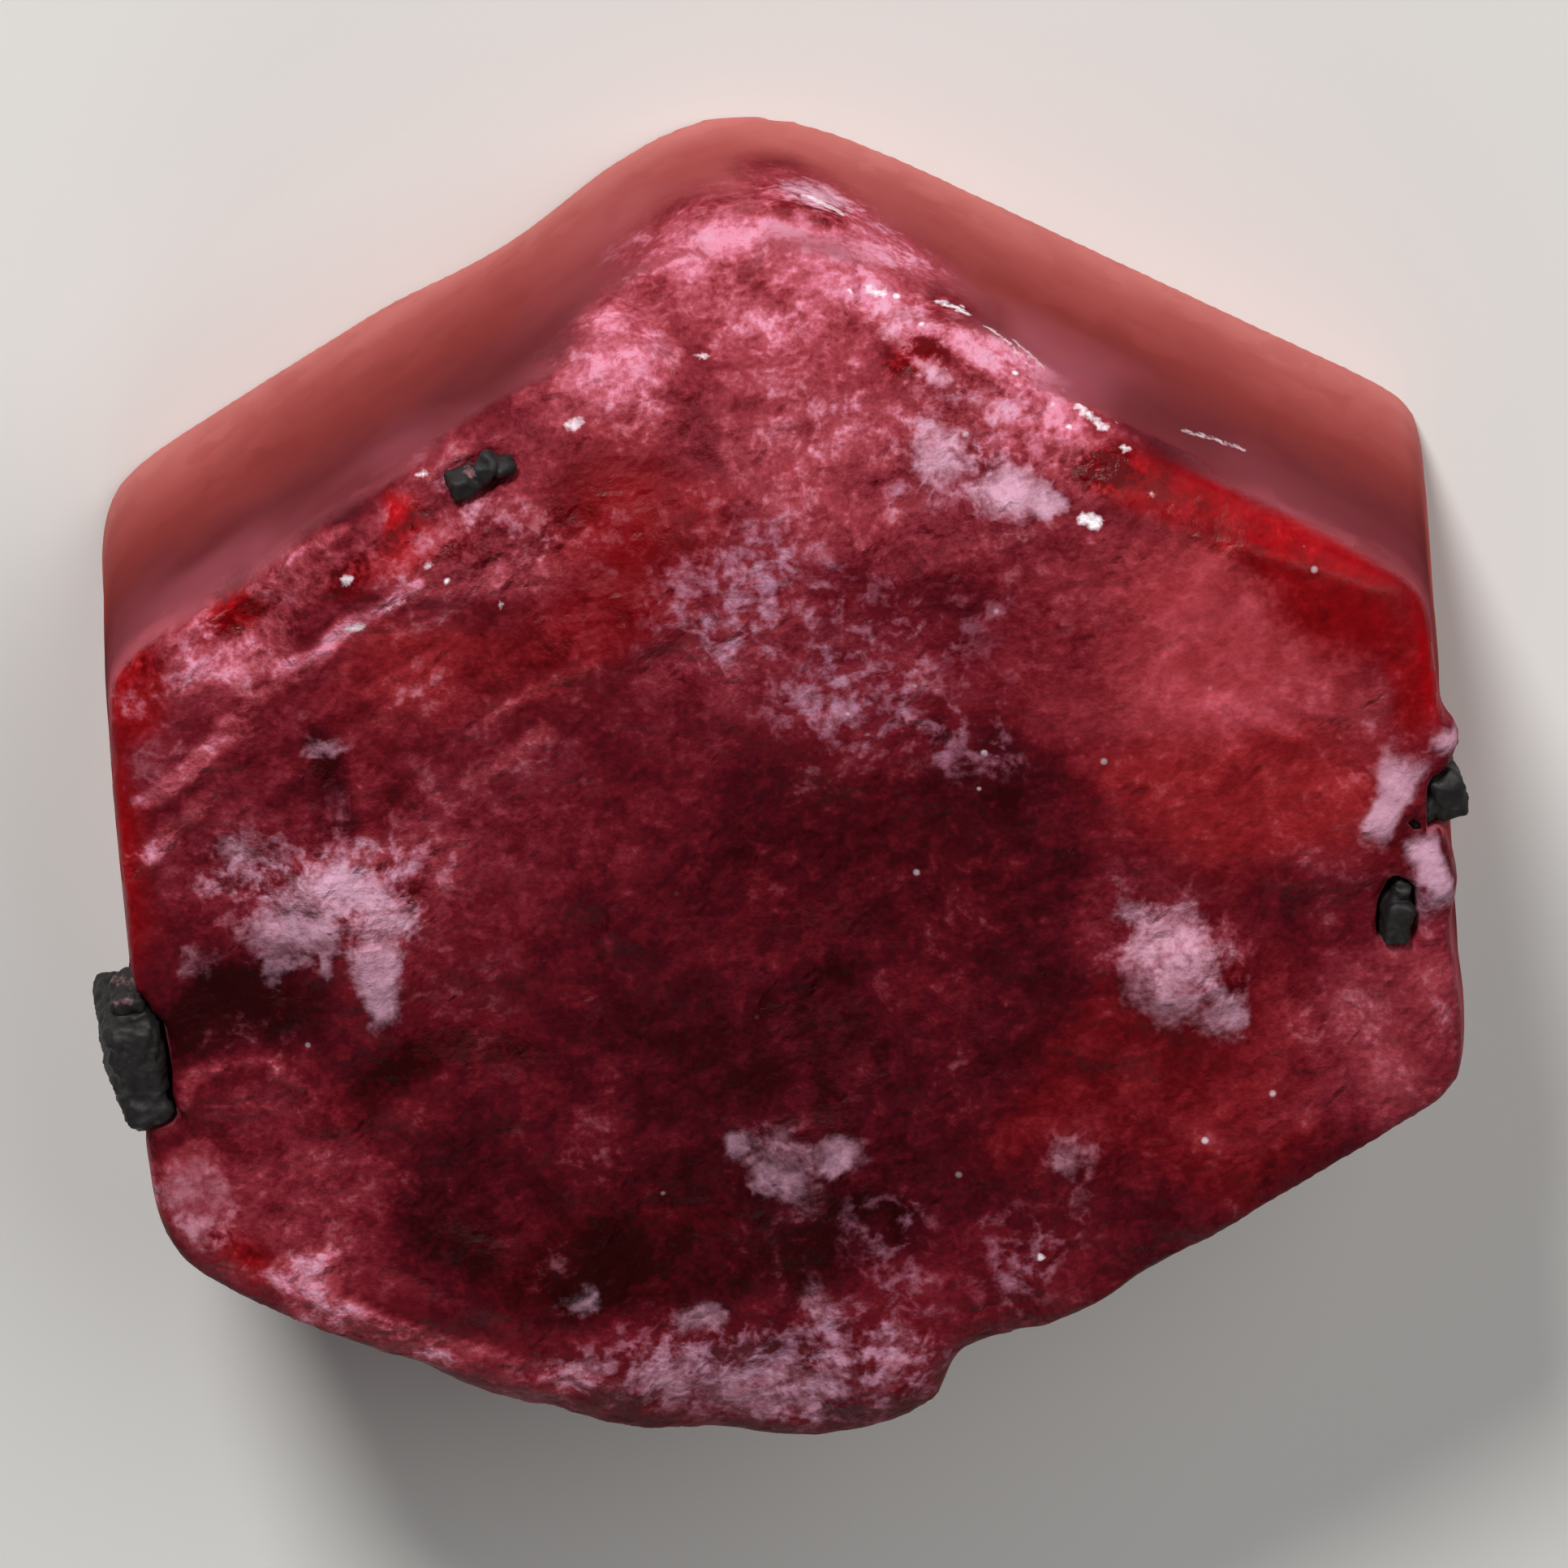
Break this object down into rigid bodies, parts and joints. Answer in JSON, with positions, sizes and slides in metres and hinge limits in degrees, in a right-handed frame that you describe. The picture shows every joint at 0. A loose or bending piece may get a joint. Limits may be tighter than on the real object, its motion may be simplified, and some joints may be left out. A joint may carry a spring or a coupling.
{
  "type": "red beryl crystal",
  "caption": "Stubby hexagonal prism of red beryl, clear red with pink clouding and white specks, a rough pitted cap, a chipped corner and black metallic grains in its rim.",
  "frame": {"origin": "middle of the bounding box, on the flat base that the crystal lies on", "axes": "+Z up along the prism's axis, from the flat base to the rough cap; +Y towards the chipped corner of the cap; +X to its right, seen from above with +Y up"},
  "size_m": [0.01, 0.0094, 0.0041],
  "materials": {
    "red_beryl": "natural crystal: clear deep red with pink clouding, glassy and slightly frosted prism faces, rough broken cap",
    "black_oxide": "natural black manganese iron oxide with a dull submetallic shine"
  },
  "bodies": {
    "root": {"beryl_crystal": "red_beryl", "black_grain_left": "black_oxide", "black_grain_right_upper": "black_oxide", "black_grain_right_lower": "black_oxide", "black_grain_rim": "black_oxide"}
  },
  "joints": []
}
